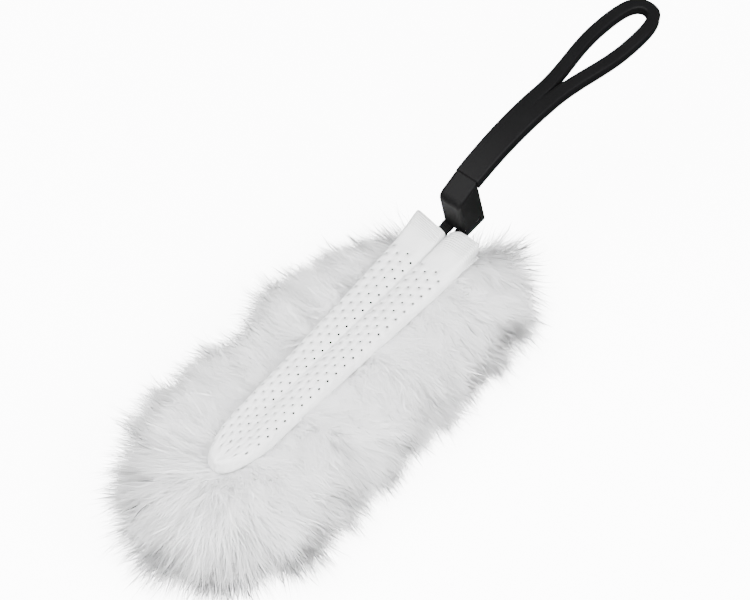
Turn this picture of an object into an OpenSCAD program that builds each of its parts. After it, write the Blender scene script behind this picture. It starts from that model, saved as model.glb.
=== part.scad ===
// Folding hand duster: a looped grip and a neck that hinge on a two-tined fork,
// and a throw-away refill whose twin pockets slide over the fork.
// +X runs from the fibre tip to the hanging loop, +Z is up, and the duster lies
// on its fibres with the origin in the middle of the surface that it lies on.

/* [Overall] */
// Length from the fibre tip to the end of the hanging loop
total_len = 342; // [338:1:346]
// Height of the fork's upper face above the surface
fork_top_z = 47; // [45:0.5:49]

/* [Neck] */
// Distance of the neck's foot from the middle of the duster, along X
foot_x = 36.3; // [34:0.1:38]
// Width of the neck and of the grip where they meet
neck_w = 11.5; // [10:0.5:12]
// Thickness of each hinge ear
ear_t = 1.8; // [1.5:0.1:2]
// Thickness of the neck's front wall
front_wall = 1.9; // [1.6:0.1:2.4]
// Diameter of the hinge pin
pin_d = 3; // [2.5:0.1:3.4]
// How far the pin's ends sit below the ear faces
pin_recess = 0.8; // [0.4:0.1:1.2]

/* [Grip] */
// Slope of the grip where it leaves the neck, in degrees
grip_rise = 14; // [10:0.5:17]
// Slope of the grip towards its loop, in degrees
grip_fall = 9.2; // [6:0.2:11]
// Radius of the arch between the two slopes
arch_r = 125; // [110:1:140]
// Thickness of the grip at the seam
seam_t = 6.4; // [6:0.1:6.8]
// Thickness of the grip at the loop
loop_t = 5; // [4.5:0.1:5.6]
// Half width of the grip ahead of the loop
waist_hw = 6.2; // [6:0.05:6.4]
// Half width of the hanging loop
loop_hw = 10.9; // [10.4:0.1:11.3]
// Width of each arm of the loop
arm_w = 5.6; // [5.2:0.1:6]
// Depth of the sunken floor ahead of the loop's opening
recess_depth = 1.8; // [1:0.1:2.4]

/* [Fork] */
// Thickness of the fork's tines
tine_t = 2; // [1.6:0.1:2.2]
// Reach of the tines ahead of the neck
tine_len = 132; // [124:1:134]
// Half width of the gap between the tines at their root
tine_gap = 1.1; // [0.9:0.1:1.3]

/* [Refill sleeve] */
// Length of the sleeve from its mouths to its rounded end
sleeve_len = 152; // [148:1:156]
// Half width of the sleeve at its mouths
mouth_hw = 16.5; // [15.5:0.5:17.5]
// Half width of the sleeve near its rounded end
end_hw = 10.6; // [10.4:0.1:12]
// Thickness of the sleeve's sheet
sheet_t = 0.7; // [0.5:0.1:0.8]

/* [Refill fibres] */
// Length of the fibre bundle
fluff_len = 221; // [214:1:222]
// Half width of the fibre bundle
fluff_hw = 50; // [46:1:52]
// Width of each strip of the strip sheets
strip_w = 9; // [7:0.5:12]

/* [Hidden] */

plastic = "#26262a";
steel = "#b9bcc0";
sheet = "#f2f2f2";
fibre = "#e6e7e9";

// Play between a moulded part and the one it moves in
play = 0.2;
// Play round the hinge pin, and round the grip's spigot
fit = 0.05;
steps = 14;

// The neck, in X and Z from the foot of its front wall
seam_top = [6.65, 28.1];
seam_low = seam_top + seam_t * [sin(grip_rise), -cos(grip_rise)];
neck_back = [13.3, -4];
neck_outline = [
    [0, 0.1], [-0.7, 0.5], [-4.8, 20.1], [-4.9, 21.6], [-4.6, 23], [-3.8, 24.2],
    seam_top, seam_low, neck_back, [0.9, -4], [0.1, -2.6]
];
slot_w = neck_w - 2 * ear_t;
slot_top = 9;
slot_back_top = 4.5;

// The seam's centre, and from it the place of everything else
seam_mid = (seam_top + seam_low) / 2;
grip_x = foot_x + seam_mid[0];
grip_len = total_len / 2 - grip_x;
grip_z = fork_top_z + seam_mid[1];

// The hinge, from the foot of the neck's front wall
pin_back = 8.3;
pin_drop = 0.4;
barrel_r = 3.3;
barrel_flat = 3.15;
root_t = 3;

// The spigot that joins grip and neck
spigot_w = 6;
spigot_h = 3;
spigot_len = 8;
lug_r = 0.6;

// Plan of the loop, in X from the seam and half width
outer_a = [[50, waist_hw], [70, waist_hw - 0.5], [82, loop_hw], [101, loop_hw]];
outer_b = [[101, loop_hw], [118, loop_hw], [grip_len, loop_hw - 1.6], [grip_len, 0]];
inner_hw = loop_hw - arm_w;
inner_a = [[55, 0], [73, 0.3], [84, inner_hw], [101, inner_hw]];
inner_b = [[101, inner_hw], [114, inner_hw], [grip_len - arm_w, inner_hw - 1], [grip_len - arm_w, 0]];
opening_start = 63;

// The tines, in X from the neck's foot and Y from the middle
tine_root = neck_w / 2;
splay_out = 9.4;
splay_in = 3.4;
splay_end = 32;
tine_out = [[-6, tine_root], [-14, tine_root + 0.4], [-20, splay_out], [-splay_end, splay_out]];
tine_in = [[-8, tine_gap], [-16, tine_gap + 0.3], [-22, splay_in], [-splay_end - 2, splay_in]];
tip_r = 2;
tip_mid = 4.6;
tine_drop = (root_t - tine_t) / 2 + 0.1;
nub_start = splay_end + 8;
nub_pitch = 32;
nub_mid = (splay_out + splay_in) / 2;
nub_slope = (nub_mid - tip_mid) / (tine_len - tip_r - splay_end);
nub_r = 1.1;
nub_h = 0.2;

// The sleeve, in X from its mouths and Z from the fork's upper face
mouth_gap = 4;
mouth_x = foot_x - mouth_gap;
pocket_roof = -0.3;
pocket_floor = -2.9;
base_low = -6;
end_round = 32;
sleeve_side = [[0, mouth_hw], [-35, mouth_hw - 2.6], [-70, end_hw + 1.6], [-sleeve_len + end_round, end_hw]];
seal_hw = 0.7;

// The fibre bundle's levels, from the surface up, and how far each level
// draws in from the widest outline
fluff_x = -total_len / 2;
sheet_gap = 0.8;
level_z = [0, 10, 10 + sheet_gap, 20.5, 30.5, 40, 41];
level_in = [14, 4, 4, 0, 3, 14, 15];
fluff_corner = 0.72;

function bezier(p, t) =
    pow(1 - t, 3) * p[0] + 3 * t * pow(1 - t, 2) * p[1] + 3 * t * t * (1 - t) * p[2] + pow(t, 3) * p[3];
function curve(p, first = 0) = [for (i = [first:steps]) bezier(p, i / steps)];
function flipped(pts) = [for (i = [len(pts) - 1:-1:0]) [pts[i][0], -pts[i][1]]];
function both_sides(pts) = concat(pts, flipped(pts));

// The grip's middle line: an arch, then a straight fall
arch_dx = arch_r * (sin(grip_rise) + sin(grip_fall));
function arch_a(x) = asin(sin(grip_rise) - x / arch_r);
function mid_z(x) =
    x <= arch_dx
        ? arch_r * (cos(arch_a(x)) - cos(grip_rise))
        : mid_z(arch_dx) - (x - arch_dx) * tan(grip_fall);
function mid_a(x) = x <= arch_dx ? arch_a(x) : -grip_fall;
function half_t(x) = (seam_t + (loop_t - seam_t) * x / grip_len) / 2;
function skin(x, side) = [x - side * half_t(x) * sin(mid_a(x)), mid_z(x) + side * half_t(x) * cos(mid_a(x))];

// Stands a shape that is drawn in X and Z on edge, centred on Y
module on_edge(width) {
    rotate([90, 0, 0])
        linear_extrude(height = width, center = true)
            children();
}

module grip_strip(depth = 0) {
    stations = [for (i = [0:26]) i * (grip_len + 2) / 26];
    polygon(concat(
        [for (x = stations) skin(x, 1) - [0, depth]],
        [for (i = [26:-1:0]) skin(stations[i], -1)]
    ));
}

module loop_plan() {
    polygon(both_sides(concat([[-3, neck_w / 2], [0, neck_w / 2]], curve(outer_a), curve(outer_b, 1))));
}

module opening_plan() {
    polygon(both_sides(concat(curve(inner_a), curve(inner_b, 1))));
}

// The bar of the grip, with its recess and its opening
module grip_bar() {
    difference() {
        intersection() {
            on_edge(4 * loop_hw) grip_strip();
            translate([0, 0, -60])
                linear_extrude(height = 120)
                    loop_plan();
        }
        difference() {
            translate([0, 0, -60])
                linear_extrude(height = 120)
                    opening_plan();
            intersection() {
                on_edge(4 * loop_hw) grip_strip(recess_depth);
                translate([opening_start - 40, -20, -60])
                    cube([40, 40, 120]);
            }
        }
    }
}

// The spigot that plugs into the neck; grow makes its socket
module spigot(grow = 0) {
    rotate([0, -grip_rise, 0]) {
        translate([-spigot_len - grow, -spigot_w / 2 - grow, -spigot_h / 2 - grow])
            cube([spigot_len + grow + 0.5, spigot_w + 2 * grow, spigot_h + 2 * grow]);
        translate([-spigot_len + 2, 0, -spigot_h / 2])
            rotate([90, 0, 0])
                cylinder(r = lug_r + grow, h = spigot_w + 2 * grow, center = true, $fn = 32);
    }
}

module grip() {
    color(plastic)
        translate([grip_x, 0, grip_z]) {
            grip_bar();
            spigot();
        }
}

module neck_housing() {
    color(plastic)
        difference() {
            translate([foot_x, 0, fork_top_z])
                difference() {
                    on_edge(neck_w) polygon(neck_outline);
                    fork_slot();
                    translate([pin_back, 0, -pin_drop])
                        rotate([90, 0, 0])
                            cylinder(d = pin_d, h = 2 * neck_w, center = true, $fn = 48);
                }
            translate([grip_x, 0, grip_z])
                spigot(fit);
        }
}

// The space that the fork turns in, less the sprung finger that bears on its barrel
module fork_slot() {
    difference() {
        union() {
            translate([front_wall, -slot_w / 2, -6])
                cube([20, slot_w, 6 + slot_back_top]);
            translate([front_wall, -slot_w / 2, 0])
                cube([slot_top - front_wall + 0.6, slot_w, slot_top]);
            translate([-2, -slot_w / 2, -6])
                cube([6, slot_w, 6.1]);
        }
        translate([pin_back - 0.6, -slot_w / 2 + 0.4, barrel_r - pin_drop + fit])
            cube([1.2, slot_w - 0.8, slot_top]);
    }
}

module hinge_pin() {
    color(steel)
        translate([foot_x + pin_back, 0, fork_top_z - pin_drop])
            rotate([90, 0, 0])
                cylinder(d = pin_d, h = neck_w - 2 * pin_recess, center = true, $fn = 48);
}

// One tine in plan, from the neck's foot to its rounded tip
module tine_plan() {
    tip_x = -tine_len + tip_r;
    polygon(concat(
        [[1.5, tine_gap], [1.5, slot_w / 2 - play], [-0.2, slot_w / 2 - play], [-0.2, tine_root]],
        curve(tine_out),
        [[tip_x, tip_mid + tip_r], [tip_x, tip_mid - tip_r]],
        [for (i = [steps:-1:0]) bezier(tine_in, i / steps)]
    ));
    translate([tip_x, tip_mid])
        circle(r = tip_r, $fn = 40);
}

module tine() {
    translate([0, 0, -tine_drop - tine_t])
        linear_extrude(height = tine_t)
            tine_plan();
    translate([-2.5, tine_gap, -root_t])
        cube([2.3, tine_root - tine_gap, root_t]);
    for (x = [nub_start:nub_pitch:tine_len - 20])
        translate([-x, nub_mid - (x - splay_end) * nub_slope, -tine_drop])
            cylinder(r = nub_r, h = nub_h, $fn = 32);
}

// The barrel that turns on the pin, with flats for the sprung finger
module fork_barrel() {
    difference() {
        rotate([90, 0, 0])
            intersection() {
                cylinder(r = barrel_r, h = slot_w - 2 * play, center = true, $fn = 64);
                cube([2 * barrel_flat, 2 * barrel_flat, slot_w], center = true);
            }
        rotate([90, 0, 0])
            cylinder(d = pin_d + 2 * fit, h = slot_w, center = true, $fn = 48);
    }
}

module fork() {
    color(plastic)
        translate([foot_x, 0, fork_top_z]) {
            translate([pin_back, 0, -pin_drop])
                fork_barrel();
            difference() {
                translate([-0.2, play - slot_w / 2, -root_t])
                    cube([pin_back - pin_d / 2 - 0.5, slot_w - 2 * play, root_t]);
                translate([-1, -tine_gap, -root_t - 1])
                    cube([2.5, 2 * tine_gap, root_t + 2]);
            }
            tine();
            mirror([0, 1, 0])
                tine();
        }
}

// The sleeve in plan, drawn in by inset: narrowing sides and an elliptical end
module sleeve_plan(inset = 0) {
    offset(delta = -inset)
        polygon(both_sides(concat(curve(sleeve_side), sleeve_end())));
}
function sleeve_end() = [
    for (i = [1:steps])
        [-sleeve_len + end_round - end_round * sin(90 * i / steps), end_hw * cos(90 * i / steps)]
];

// The half of the sleeve's plan that one pocket takes
module pocket_plan() {
    intersection() {
        union() {
            sleeve_plan(2 * sheet_t);
            translate([-10, -mouth_hw + 2 * sheet_t])
                square([20, 2 * mouth_hw - 4 * sheet_t]);
        }
        translate([-sleeve_len, seal_hw])
            square([sleeve_len + 10, mouth_hw]);
    }
}

module sleeve_top() {
    color(sheet)
        translate([mouth_x, 0, fork_top_z])
            difference() {
                translate([0, 0, pocket_floor])
                    linear_extrude(height = pocket_roof + sheet_t - pocket_floor)
                        sleeve_plan();
                for (side = [0, 1])
                    mirror([0, side, 0])
                        translate([0, 0, pocket_floor - 1])
                            linear_extrude(height = pocket_roof - pocket_floor + 1)
                                pocket_plan();
            }
}

module sleeve_base() {
    color(sheet)
        translate([mouth_x, 0, fork_top_z + base_low])
            linear_extrude(height = pocket_floor - base_low)
                sleeve_plan();
}

// The bundle's outline in plan: a long form with soft, full corners
function bundle_outline(inset) = [
    for (a = [0:7.5:359])
        [
            fluff_x + fluff_len / 2 + (fluff_len / 2 - inset) * sign(cos(a)) * pow(abs(cos(a)), fluff_corner),
            (fluff_hw - inset) * sign(sin(a)) * pow(abs(sin(a)), fluff_corner)
        ]
];

// The bundle between two of its levels
module bundle_slice(low) {
    hull() {
        translate([0, 0, level_z[low]])
            linear_extrude(height = 0.01)
                polygon(bundle_outline(level_in[low]));
        translate([0, 0, level_z[low + 1] - 0.01])
            linear_extrude(height = 0.01)
                polygon(bundle_outline(level_in[low + 1]));
    }
}

// A sheet cut into strips from both long edges, held together along its middle
module strip_sheet(z, inset, thickness) {
    slit = 1;
    spine = 6;
    pitch = strip_w + slit;
    count = floor(fluff_len / pitch);
    translate([0, 0, z])
        linear_extrude(height = thickness)
            difference() {
                polygon(bundle_outline(inset));
                for (i = [1:count], side = [0, 1])
                    mirror([0, side])
                        translate([fluff_x + i * pitch, spine])
                            square([slit, fluff_hw]);
            }
}

module fibre_layer_bottom() {
    color(fibre) bundle_slice(0);
}

module strip_sheet_lower() {
    color(sheet) strip_sheet(level_z[1], level_in[1] + 2, sheet_gap);
}

module fibre_layer_lower_middle() {
    color(fibre) bundle_slice(2);
}

module fibre_layer_upper_middle() {
    color(fibre) bundle_slice(3);
}

module fibre_layer_top() {
    color(fibre) bundle_slice(4);
}

module strip_sheet_upper() {
    color(sheet) strip_sheet(level_z[5], level_in[5] + 2, level_z[6] - level_z[5]);
}

grip();
neck_housing();
hinge_pin();
fork();
sleeve_top();
sleeve_base();
strip_sheet_upper();
fibre_layer_top();
fibre_layer_upper_middle();
fibre_layer_lower_middle();
strip_sheet_lower();
fibre_layer_bottom();
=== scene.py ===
import math

import bmesh
import bpy
import numpy as np
from mathutils import Matrix, Vector, noise


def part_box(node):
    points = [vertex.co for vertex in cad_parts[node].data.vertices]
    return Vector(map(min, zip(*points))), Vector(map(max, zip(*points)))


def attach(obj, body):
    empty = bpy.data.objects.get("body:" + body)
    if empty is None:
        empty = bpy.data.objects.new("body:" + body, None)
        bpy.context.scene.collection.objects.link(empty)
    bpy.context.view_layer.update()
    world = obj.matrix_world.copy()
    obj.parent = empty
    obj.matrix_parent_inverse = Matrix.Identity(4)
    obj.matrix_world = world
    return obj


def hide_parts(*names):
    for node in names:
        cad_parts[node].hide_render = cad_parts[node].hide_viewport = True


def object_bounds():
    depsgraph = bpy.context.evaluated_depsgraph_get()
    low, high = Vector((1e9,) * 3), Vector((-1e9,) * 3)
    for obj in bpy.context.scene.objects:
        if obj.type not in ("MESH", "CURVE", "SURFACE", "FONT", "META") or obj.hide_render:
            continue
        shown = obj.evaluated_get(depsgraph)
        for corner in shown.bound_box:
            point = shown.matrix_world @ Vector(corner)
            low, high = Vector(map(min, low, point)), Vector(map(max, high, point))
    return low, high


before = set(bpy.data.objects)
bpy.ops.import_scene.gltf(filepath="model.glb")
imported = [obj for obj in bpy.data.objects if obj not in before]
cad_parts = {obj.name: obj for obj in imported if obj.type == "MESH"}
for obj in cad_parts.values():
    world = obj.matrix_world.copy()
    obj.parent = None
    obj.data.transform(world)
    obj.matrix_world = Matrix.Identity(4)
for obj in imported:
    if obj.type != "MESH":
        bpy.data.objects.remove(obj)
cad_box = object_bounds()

MM = 0.001

# ---------------------------------------------------------------- places
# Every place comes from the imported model's own boxes.
neck_low, neck_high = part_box("neck_housing")
grip_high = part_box("grip")[1]
pin_low, pin_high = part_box("hinge_pin")
sleeve_low, sleeve_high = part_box("sleeve_top")
base_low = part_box("sleeve_base")[0]
bundle_low, bundle_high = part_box("fibre_layer_upper_middle")
lower_strips_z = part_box("strip_sheet_lower")[0].z
upper_strips_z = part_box("strip_sheet_upper")[0].z

foot = Vector((neck_low.x + 4.2 * MM, 0, neck_low.z + 4 * MM))
neck_width = neck_high.y - neck_low.y

# The grip, measured along X from its seam with the neck
GRIP_RISE, GRIP_FALL, ARCH_RADIUS = math.radians(14), math.radians(9.2), 125 * MM
SEAM_THICK, LOOP_THICK = 6.4 * MM, 5 * MM
SEAM_TOP = np.array([6.65, 28.1]) * MM
SEAM_LOW = SEAM_TOP + SEAM_THICK * np.array([math.sin(GRIP_RISE), -math.cos(GRIP_RISE)])
seam = (SEAM_TOP + SEAM_LOW) / 2
grip_start = Vector((foot.x + seam[0], 0, foot.z + seam[1]))
grip_length = grip_high.x - grip_start.x
LOOP_HALF = grip_high.y / MM
ARM = 5.6
WAIST = 6.2
RECESS_DEPTH = 1.8 * MM
OPENING_START = 63
SEAM_GROOVE = 0.45
EDGE_ROUND = 1.1 * MM

# The sleeve, measured along its length from its mouths
mouth_x = sleeve_high.x
sleeve_length = sleeve_high.x - sleeve_low.x
mouth_half = sleeve_high.y
END_HALF = 10.6 * MM
END_ROUND = 32 * MM
WALL_HEIGHT = 7 * MM
CLOTH = 0.25 * MM

# The tines, behind the neck's foot: where they splay out, how far they taper in, and where they end
TINE_START, TINE_TAPER, TINE_END = 32 * MM, 100 * MM, 132 * MM

# How near the table fibres may come, and how far they may stray past the CAD's box
TABLE_GAP, RESTING = 0.4 * MM, 4 * MM
TIP_STRAY, SIDE_STRAY = 17 * MM, 12 * MM

# The refill lies a little askew on the fork
ASKEW = math.radians(-1.2)
bundle_mid = Vector(((bundle_low.x + bundle_high.x) / 2, 0, 0))
bundle_half = (bundle_high - bundle_low) / 2


# ---------------------------------------------------------------- helpers
def add(tree, kind, sockets=None, **settings):
    """A new node, with its settings, and its sockets set or linked by name or by number."""
    node = tree.nodes.new(kind)
    for name, value in settings.items():
        setattr(node, name, value)
    for key, value in (sockets or {}).items():
        shown = [s for s in node.inputs if s.enabled]
        socket = shown[key] if isinstance(key, int) else next(s for s in shown if s.name == key)
        if isinstance(value, bpy.types.NodeSocket):
            tree.links.new(value, socket)
        else:
            socket.default_value = value
    return node


def out(node, name=None):
    """The first shown output of a node, or the one of that name."""
    return next(s for s in node.outputs if s.enabled and (name is None or s.name == name))


def maths(tree, operation, *values):
    return out(add(tree, "ShaderNodeMath", dict(enumerate(values)), operation=operation))


def vectors(tree, operation, a, b=None, scale=None):
    sockets = {0: a}
    if b is not None:
        sockets[1] = b
    if scale is not None:
        sockets["Scale"] = scale
    return out(add(tree, "ShaderNodeVectorMath", sockets, operation=operation))


def new_object(name, verts, faces, smooth=True):
    mesh = bpy.data.meshes.new(name)
    mesh.from_pydata([tuple(v) for v in verts], [], faces)
    mesh.polygons.foreach_set("use_smooth", [smooth] * len(mesh.polygons))
    mesh.update()
    made = bpy.data.objects.new(name, mesh)
    bpy.context.scene.collection.objects.link(made)
    return made


def apply_modifiers(made):
    """The object's evaluated mesh takes the place of its own, and its modifiers go."""
    bpy.context.view_layer.update()
    seen = made.evaluated_get(bpy.context.evaluated_depsgraph_get())
    mesh = bpy.data.meshes.new_from_object(seen)
    made.modifiers.clear()
    made.data = mesh
    return made


def modifier(made, kind, **settings):
    added = made.modifiers.new(kind.title(), kind)
    for name, value in settings.items():
        setattr(added, name, value)
    return added


def cut(made, tools, operation="DIFFERENCE"):
    """Boolean with each tool object in turn; the tools are used up."""
    for tool in tools:
        modifier(made, "BOOLEAN", operation=operation, object=tool, solver="EXACT")
    apply_modifiers(made)
    for tool in tools:
        bpy.data.objects.remove(tool)
    return made


def sharpen(made, degrees):
    """Smooth faces, with the edges sharper than an angle kept crisp, and normals that favour big faces."""
    work = bmesh.new()
    work.from_mesh(made.data)
    bmesh.ops.remove_doubles(work, verts=work.verts, dist=0.002 * MM)
    bmesh.ops.recalc_face_normals(work, faces=work.faces)
    for face in work.faces:
        face.smooth = True
    for edge in work.edges:
        edge.smooth = len(edge.link_faces) == 2 and edge.calc_face_angle(0) < math.radians(degrees)
    work.to_mesh(made.data)
    work.free()
    modifier(made, "WEIGHTED_NORMAL", keep_sharp=True, weight=80)
    return made


def box_tool(low, high):
    """A plain block between two corners, for cutting with."""
    corners = [(x, y, z) for x in (low[0], high[0]) for y in (low[1], high[1]) for z in (low[2], high[2])]
    faces = [(0, 1, 3, 2), (4, 6, 7, 5), (0, 4, 5, 1), (2, 3, 7, 6), (0, 2, 6, 4), (1, 5, 7, 3)]
    return new_object("cutting block", corners, faces, smooth=False)


def bore_tool(centre, radius, length):
    """A round bar along Y, for cutting with."""
    work = bmesh.new()
    turn = Matrix.Translation(centre) @ Matrix.Rotation(math.radians(90), 4, "X")
    bmesh.ops.create_cone(
        work, cap_ends=True, segments=48, radius1=radius, radius2=radius, depth=length, matrix=turn)
    mesh = bpy.data.meshes.new("cutting bar")
    work.to_mesh(mesh)
    work.free()
    made = bpy.data.objects.new("cutting bar", mesh)
    bpy.context.scene.collection.objects.link(made)
    return made


def bezier(points, steps=14):
    t = np.linspace(0, 1, steps + 1)[:, None]
    p = np.array(points, float)
    return (1 - t) ** 3 * p[0] + 3 * t * (1 - t) ** 2 * p[1] + 3 * t * t * (1 - t) * p[2] + t**3 * p[3]


def ease(value, start, end):
    t = np.clip((value - start) / (end - start), 0, 1)
    return t * t * (3 - 2 * t)


def turned(points, angle=ASKEW):
    """Points of the refill, turned about the middle of the sleeve's mouths."""
    points = np.array(points, float)
    c, s = math.cos(angle), math.sin(angle)
    x, y = points[:, 0] - mouth_x, points[:, 1].copy()
    points[:, 0], points[:, 1] = mouth_x + c * x - s * y, s * x + c * y
    return points


# ---------------------------------------------------------------- finishes
def finish(name, colour, roughness):
    material = bpy.data.materials.new(name)
    material.use_nodes = True
    shader = material.node_tree.nodes["Principled BSDF"]
    shader.inputs["Base Color"].default_value = (*colour, 1)
    shader.inputs["Roughness"].default_value = roughness
    return material, material.node_tree, shader


def ramp(tree, value, low, high):
    """A value from 0 to 1, spread between two numbers or two colours."""
    if isinstance(low, tuple):
        return out(add(tree, "ShaderNodeMix", {"Factor": value, "A": (*low, 1), "B": (*high, 1)},
                       data_type="RGBA"))
    return out(add(tree, "ShaderNodeMapRange", {"Value": value, "To Min": low, "To Max": high}))


def satin_black_plastic():
    """Moulded black plastic: a fine spark-eroded grain, and faint cloudiness from handling."""
    material, tree, shader = finish("satin black plastic", (0.01, 0.01, 0.011), 0.4)
    place = out(add(tree, "ShaderNodeTexCoord"), "Object")
    grain = add(tree, "ShaderNodeTexNoise", {"Vector": place, "Scale": 2600.0, "Detail": 3.0})
    cloud = add(tree, "ShaderNodeTexNoise", {"Vector": place, "Scale": 55.0, "Detail": 4.0})
    tree.links.new(ramp(tree, out(cloud), 0.46, 0.6), shader.inputs["Roughness"])
    tree.links.new(ramp(tree, out(cloud), (0.0036, 0.0036, 0.0037), (0.0056, 0.0056, 0.0058)),
                   shader.inputs["Base Color"])
    bump = add(tree, "ShaderNodeBump", {"Height": out(grain), "Strength": 0.12, "Distance": 0.05 * MM})
    tree.links.new(out(bump), shader.inputs["Normal"])
    shader.inputs["Specular IOR Level"].default_value = 0.06
    return material


def turned_steel():
    """Bright drawn steel with fine lines round the pin."""
    material, tree, shader = finish("turned steel", (0.56, 0.57, 0.58), 0.3)
    shader.inputs["Metallic"].default_value = 1
    place = out(add(tree, "ShaderNodeTexCoord"), "Object")
    drawn = add(tree, "ShaderNodeMapping", {"Vector": place, "Scale": (300.0, 9000.0, 300.0)})
    lines = add(tree, "ShaderNodeTexNoise", {"Vector": out(drawn), "Scale": 1.0, "Detail": 3.0})
    tree.links.new(ramp(tree, out(lines), 0.22, 0.42), shader.inputs["Roughness"])
    bump = add(tree, "ShaderNodeBump", {"Height": out(lines), "Strength": 0.1, "Distance": 0.02 * MM})
    tree.links.new(out(bump), shader.inputs["Normal"])
    return material


def white_nonwoven():
    """Spun-bonded cloth: a web of fine random threads, with pressed lines across it at the mouths and a weld
    between the pockets, both given painted shade of their grooves in the colour.
    """
    material, tree, shader = finish("white nonwoven", (0.9, 0.9, 0.9), 0.75)
    place = out(add(tree, "ShaderNodeTexCoord"), "Object")
    heights = []
    for turn, seed in ((0.3, 0.0), (1.35, 7.0), (2.4, 13.0)):
        strung = add(tree, "ShaderNodeMapping", {
            "Vector": place, "Location": (seed, seed, 0.0), "Rotation": (0.0, 0.0, turn),
            "Scale": (500.0, 3200.0, 900.0)})
        threads = add(tree, "ShaderNodeTexNoise", {"Vector": out(strung), "Scale": 1.0, "Detail": 2.0})
        heights.append(out(threads))
    web = maths(tree, "MAXIMUM", maths(tree, "MAXIMUM", heights[0], heights[1]), heights[2])
    cloud = add(tree, "ShaderNodeTexNoise", {"Vector": place, "Scale": 160.0, "Detail": 4.0})
    shade = maths(tree, "MULTIPLY_ADD", out(cloud), 0.5, maths(tree, "MULTIPLY", web, 0.5))
    flat = out(add(tree, "ShaderNodeUVMap", uv_map="flat"))
    across = add(tree, "ShaderNodeSeparateXYZ", {"Vector": flat})
    along = maths(tree, "MULTIPLY", out(across, "X"), 200.0)
    # Pressed lines near the mouths: a real bump, whose shade is also painted into the colour as darker and
    # lighter bands
    pressed = maths(tree, "SINE", maths(tree, "MULTIPLY", along, 2 * math.pi / 1.05))
    near_mouth = out(add(tree, "ShaderNodeMapRange", {
        "Value": along, "From Min": 7.0, "From Max": 11.0, "To Min": 1.0, "To Max": 0.0}))
    lines = maths(tree, "MULTIPLY", maths(tree, "MULTIPLY", pressed, near_mouth), 0.7)
    shade = maths(tree, "MULTIPLY_ADD", lines, 0.25, shade)
    # The weld that parts the two pockets, darkened with painted shade for its groove, fading out towards the
    # rounded end
    from_weld = maths(tree, "ABSOLUTE", maths(tree, "SUBTRACT", out(across, "Y"), 0.5))
    from_weld = maths(tree, "MULTIPLY", from_weld, 200.0)
    painted_weld_shade = out(add(tree, "ShaderNodeMapRange", {
        "Value": from_weld, "From Min": 0.25, "From Max": 0.8, "To Min": 1.0, "To Max": 0.0}))
    painted_weld_shade = maths(tree, "MULTIPLY", painted_weld_shade, out(add(tree, "ShaderNodeMapRange", {
        "Value": along, "From Min": 90.0, "From Max": 125.0, "To Min": 0.9, "To Max": 0.0})))
    shade = maths(tree, "SUBTRACT", shade, painted_weld_shade)
    tree.links.new(ramp(tree, shade, (0.72, 0.725, 0.73), (0.97, 0.97, 0.965)), shader.inputs["Base Color"])
    bump = add(tree, "ShaderNodeBump", {
        "Height": maths(tree, "ADD", web, lines), "Strength": 0.8, "Distance": 0.3 * MM})
    tree.links.new(out(bump), shader.inputs["Normal"])
    shader.inputs["Sheen Weight"].default_value = 0.15
    return material


def white_fibre():
    """Fine white polyester fibre, with painted shade: darker where a lock is rooted deep in the bundle,
    lighter at its tip.
    """
    material, tree, shader = finish("white fibre", (0.95, 0.95, 0.95), 0.6)
    along = out(add(tree, "ShaderNodeAttribute", attribute_name="along"), "Fac")
    # Painted shade: the colour darkens from each lock's tip to its root
    tree.links.new(ramp(tree, along, (0.86, 0.865, 0.87), (0.97, 0.97, 0.97)), shader.inputs["Base Color"])
    shader.inputs["Specular IOR Level"].default_value = 0.25
    shader.inputs["Sheen Weight"].default_value = 0.4
    return material


def felted_fibre():
    """The matted heart of the bundle: the same fibre, pressed into streaks that run outwards."""
    material, tree, shader = finish("felted fibre", (0.9, 0.9, 0.9), 0.8)
    place = out(add(tree, "ShaderNodeTexCoord"), "Object")
    streaks = add(tree, "ShaderNodeMapping", {"Vector": place, "Scale": (900.0, 260.0, 400.0)})
    hair = add(tree, "ShaderNodeTexNoise", {"Vector": out(streaks), "Scale": 1.0, "Detail": 5.0})
    tree.links.new(ramp(tree, out(hair), (0.78, 0.785, 0.79), (0.95, 0.95, 0.95)),
                   shader.inputs["Base Color"])
    bump = add(tree, "ShaderNodeBump", {"Height": out(hair), "Strength": 0.8, "Distance": 0.8 * MM})
    tree.links.new(out(bump), shader.inputs["Normal"])
    return material


# ---------------------------------------------------------------- handle
def grip_line(x):
    """Height and slope of the grip's middle line, x ahead of the seam."""
    arch_end = ARCH_RADIUS * (math.sin(GRIP_RISE) + math.sin(GRIP_FALL))
    bend = np.arcsin(math.sin(GRIP_RISE) - np.minimum(x, arch_end) / ARCH_RADIUS)
    height = ARCH_RADIUS * (np.cos(bend) - math.cos(GRIP_RISE))
    height = height - np.maximum(x - arch_end, 0) * math.tan(GRIP_FALL)
    return height, bend


def both_sides(half):
    half = np.array(half)
    back = half[::-1] * [1, -1]
    back = back[1:] if abs(half[-1][1]) < 1e-9 else back
    return np.concatenate([half, back[:-1] if abs(half[0][1]) < 1e-9 else back])


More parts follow.
